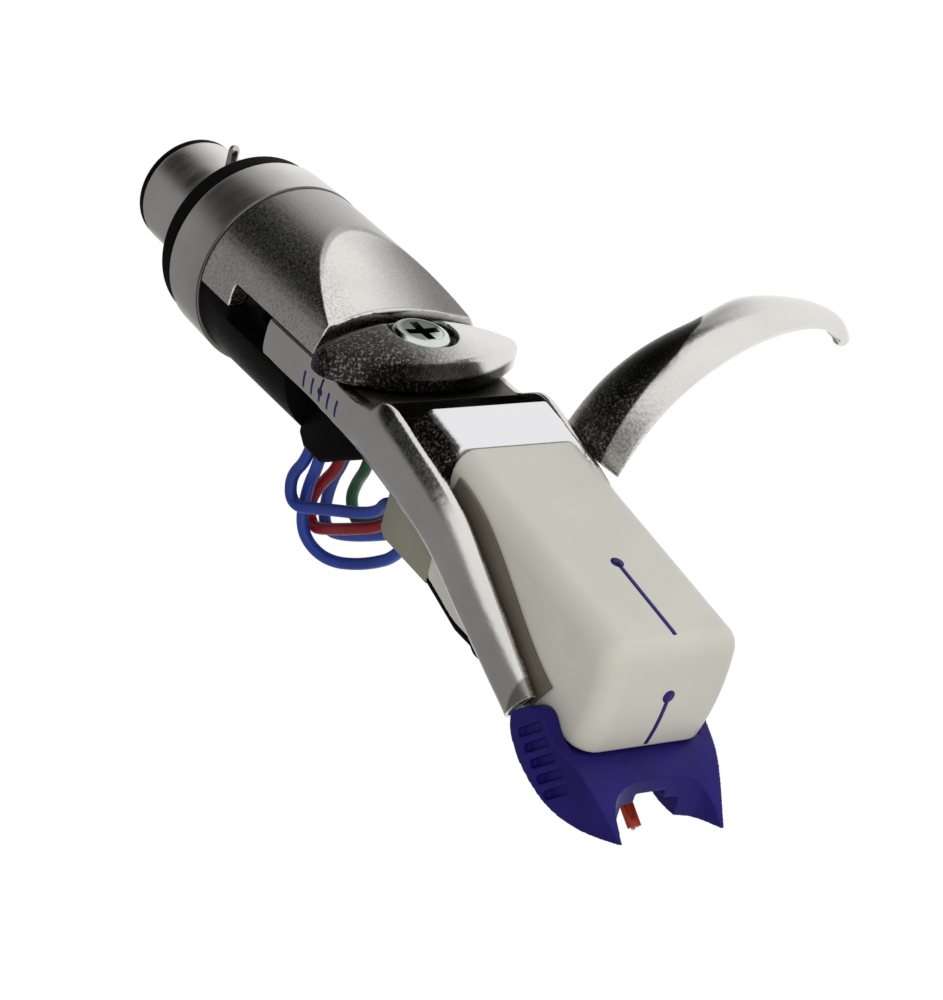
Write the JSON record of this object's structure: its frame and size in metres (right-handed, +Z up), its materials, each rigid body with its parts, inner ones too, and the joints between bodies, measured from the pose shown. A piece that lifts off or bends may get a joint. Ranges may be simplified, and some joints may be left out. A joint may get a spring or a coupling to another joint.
{
  "type": "turntable stylus cartridge",
  "caption": "Integrated turntable cartridge: bayonet connector, cast head with thumb scoop, sliding carrier with finger lift, wedge body and pull-off stylus.",
  "frame": {"origin": "on the connector's axis, at the sealing face that meets the tonearm", "axes": "+Y along the connector towards the tonearm, +Z up away from the record, +X to the finger lift side"},
  "size_m": [0.0309, 0.063, 0.0252],
  "materials": {
    "turned_nickel": "fine turned",
    "steel_pin": "turned",
    "cast_nickel": "satin plated casting",
    "screw_chrome": "polished",
    "shield_steel": "satin",
    "black_plastic": "gloss",
    "black_rubber": "matt",
    "body_plastic": "satin moulded",
    "grey_plastic": "matt moulded",
    "grip_plastic": "satin moulded",
    "shank_brass": "drawn",
    "cantilever_metal": "drawn",
    "red_plastic": "gloss",
    "tip_ceramic": "polished",
    "gold": "gold plated",
    "lead_blue": "satin",
    "lead_red": "satin",
    "lead_green": "satin",
    "lead_pale": "satin"
  },
  "bodies": {
    "head": {"connector_barrel": "turned_nickel", "bayonet_pin": "steel_pin", "contact_insulator": "black_plastic", "contact_pin_1": "gold", "contact_pin_2": "gold", "contact_pin_3": "gold", "contact_pin_4": "gold", "sealing_washer": "black_rubber", "collar_ring": "turned_nickel", "head_shell": "cast_nickel", "lower_cover": "black_plastic", "wire_outlet": "black_plastic", "clamp_nut": "steel_pin", "lead_blue": "lead_blue", "lead_blue_low": "lead_blue", "lead_red": "lead_red", "lead_green": "lead_green", "lead_pale": "lead_pale"},
    "clamp_screw": {"clamp_screw": "screw_chrome"},
    "carrier": {"carrier": "cast_nickel", "slide_plate": "cast_nickel", "finger_lift": "cast_nickel", "rail_plug_left": "black_plastic", "rail_plug_right": "black_plastic", "shield_strip_left": "shield_steel", "shield_strip_right": "shield_steel", "cartridge_body": "body_plastic", "terminal_block": "grey_plastic", "bottom_plate": "black_plastic", "terminal_pin_1": "gold", "terminal_pin_2": "gold", "terminal_pin_3": "gold", "terminal_pin_4": "gold", "lead_clip_1": "gold", "lead_clip_2": "gold", "lead_clip_3": "gold", "lead_clip_4": "gold"},
    "stylus": {"stylus_grip": "grip_plastic", "stylus_shank": "shank_brass", "damper": "black_rubber"},
    "cantilever": {"cantilever": "cantilever_metal", "stylus_blade": "red_plastic", "stylus_tip": "tip_ceramic"}
  },
  "joints": [
    {"name": "overhang_slide", "type": "slide", "parent": "head", "child": "carrier", "axis": [0, -1, 0], "range_m": [-0.002, 0.002], "deforming": ["lead_blue", "lead_blue_low", "lead_red", "lead_green", "lead_pale"]},
    {"name": "clamp_screw_turn", "type": "hinge", "parent": "head", "child": "clamp_screw", "pos_m": [0, -0.0213, 0.003], "axis": [0, 0, 1], "continuous": true},
    {"name": "stylus_pull", "type": "slide", "parent": "carrier", "child": "stylus", "axis": [0, -1, 0], "range_m": [0, 0.012]},
    {"name": "cantilever_lift", "type": "hinge", "parent": "stylus", "child": "cantilever", "pos_m": [0, -0.0467, -0.00875], "axis": [-1, 0, 0], "range_deg": [-3, 4], "stiffness_Nm_per_rad": 0.002}
  ]
}
